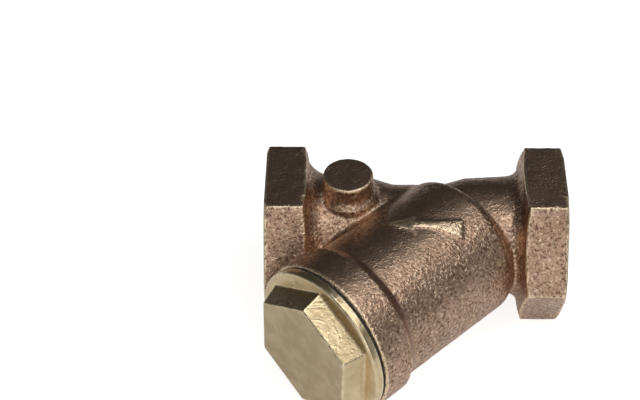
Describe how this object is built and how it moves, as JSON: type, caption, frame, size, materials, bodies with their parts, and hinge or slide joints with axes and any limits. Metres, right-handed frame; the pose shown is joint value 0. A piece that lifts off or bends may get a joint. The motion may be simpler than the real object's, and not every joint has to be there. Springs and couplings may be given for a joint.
{
  "type": "y-strainer",
  "caption": "Y-pattern strainer with threaded hexagonal pipe ends, a slanted leg closed by a screw cap, and a perforated screen that draws out of the leg.",
  "frame": {"origin": "centre of the inlet port's face, on the run's axis", "axes": "+X out of the inlet along the run, +Z square to the plane of the Y, on the side of the boss; the leg points to -X and -Y"},
  "size_m": [0.137, 0.1382, 0.0744],
  "materials": {
    "cast_bronze": "sand-cast bronze",
    "brass": "machined brass",
    "gasket_fibre": "compressed fibre sheet",
    "stainless_sheet": "perforated stainless sheet",
    "stainless_band": "rolled stainless strip"
  },
  "bodies": {
    "housing": {"body": "cast_bronze"},
    "basket": {"screen": "stainless_sheet", "screen_upper_band": "stainless_band", "screen_lower_band": "stainless_band"},
    "gasket": {"cap_gasket": "gasket_fibre"},
    "cap": {"cap": "brass"}
  },
  "joints": [
    {"name": "basket_withdraw", "type": "slide", "parent": "housing", "child": "basket", "axis": [-0.7071, -0.7071, 0], "range_m": [0, 0.086]},
    {"name": "cap_advance", "type": "slide", "parent": "basket", "child": "gasket", "axis": [-0.7071, -0.7071, 0], "range_m": [0, 0.0121]},
    {"name": "cap_turn", "type": "hinge", "parent": "gasket", "child": "cap", "pos_m": [-0.0403, 0, 0], "axis": [-0.7071, -0.7071, 0], "range_deg": [0, 2160]}
  ],
  "couplings": [
    {"joint": "cap_advance", "follows": "cap_turn", "m_per_rad": 0.00031831}
  ]
}
